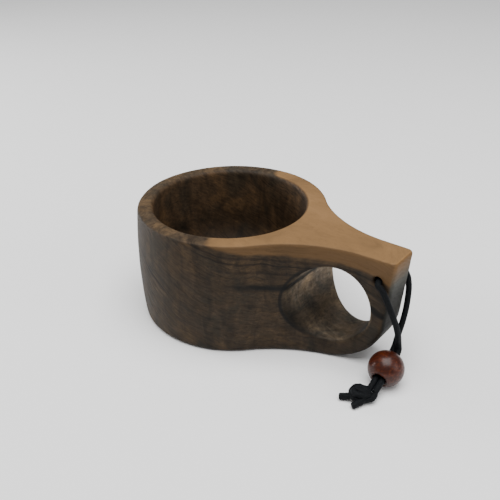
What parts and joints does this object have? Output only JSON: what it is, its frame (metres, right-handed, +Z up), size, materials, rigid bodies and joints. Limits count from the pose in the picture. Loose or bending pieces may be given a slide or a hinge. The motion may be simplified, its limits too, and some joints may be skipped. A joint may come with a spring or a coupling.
{
  "type": "wooden drinking cup",
  "caption": "Carved wooden cup with a round bowl, a flat handle with a finger hole, and a cord loop through the handle's end that carries a bead and ends in a knot.",
  "frame": {"origin": "on the bowl's axis, in the plane of the flat base", "axes": "+Z up along the bowl's axis, +X from the bowl towards the end of the handle, +Y to the left of the handle"},
  "size_m": [0.1407, 0.0884, 0.053],
  "materials": {
    "cup_wood": "oiled matt dark walnut with a paler sapwood band",
    "bead_wood": "red-brown stained wood, semi-gloss",
    "cord": "black braided cord"
  },
  "bodies": {
    "cup": {"cup_body": "cup_wood"},
    "lanyard": {"cord_front_strand": "cord", "cord_back_strand": "cord", "cord_knot": "cord", "cord_left_tail": "cord", "cord_front_tail": "cord"},
    "bead_body": {"bead": "bead_wood"}
  },
  "joints": [
    {"name": "lanyard_swing", "type": "hinge", "parent": "cup", "child": "lanyard", "pos_m": [0.0795, 0, 0.0435], "axis": [0, -1, 0], "range_deg": [0, 150]},
    {"name": "bead_slide", "type": "slide", "parent": "lanyard", "child": "bead_body", "axis": [0.0602, -0.9735, -0.2208], "range_m": [0, 0.0025]}
  ]
}
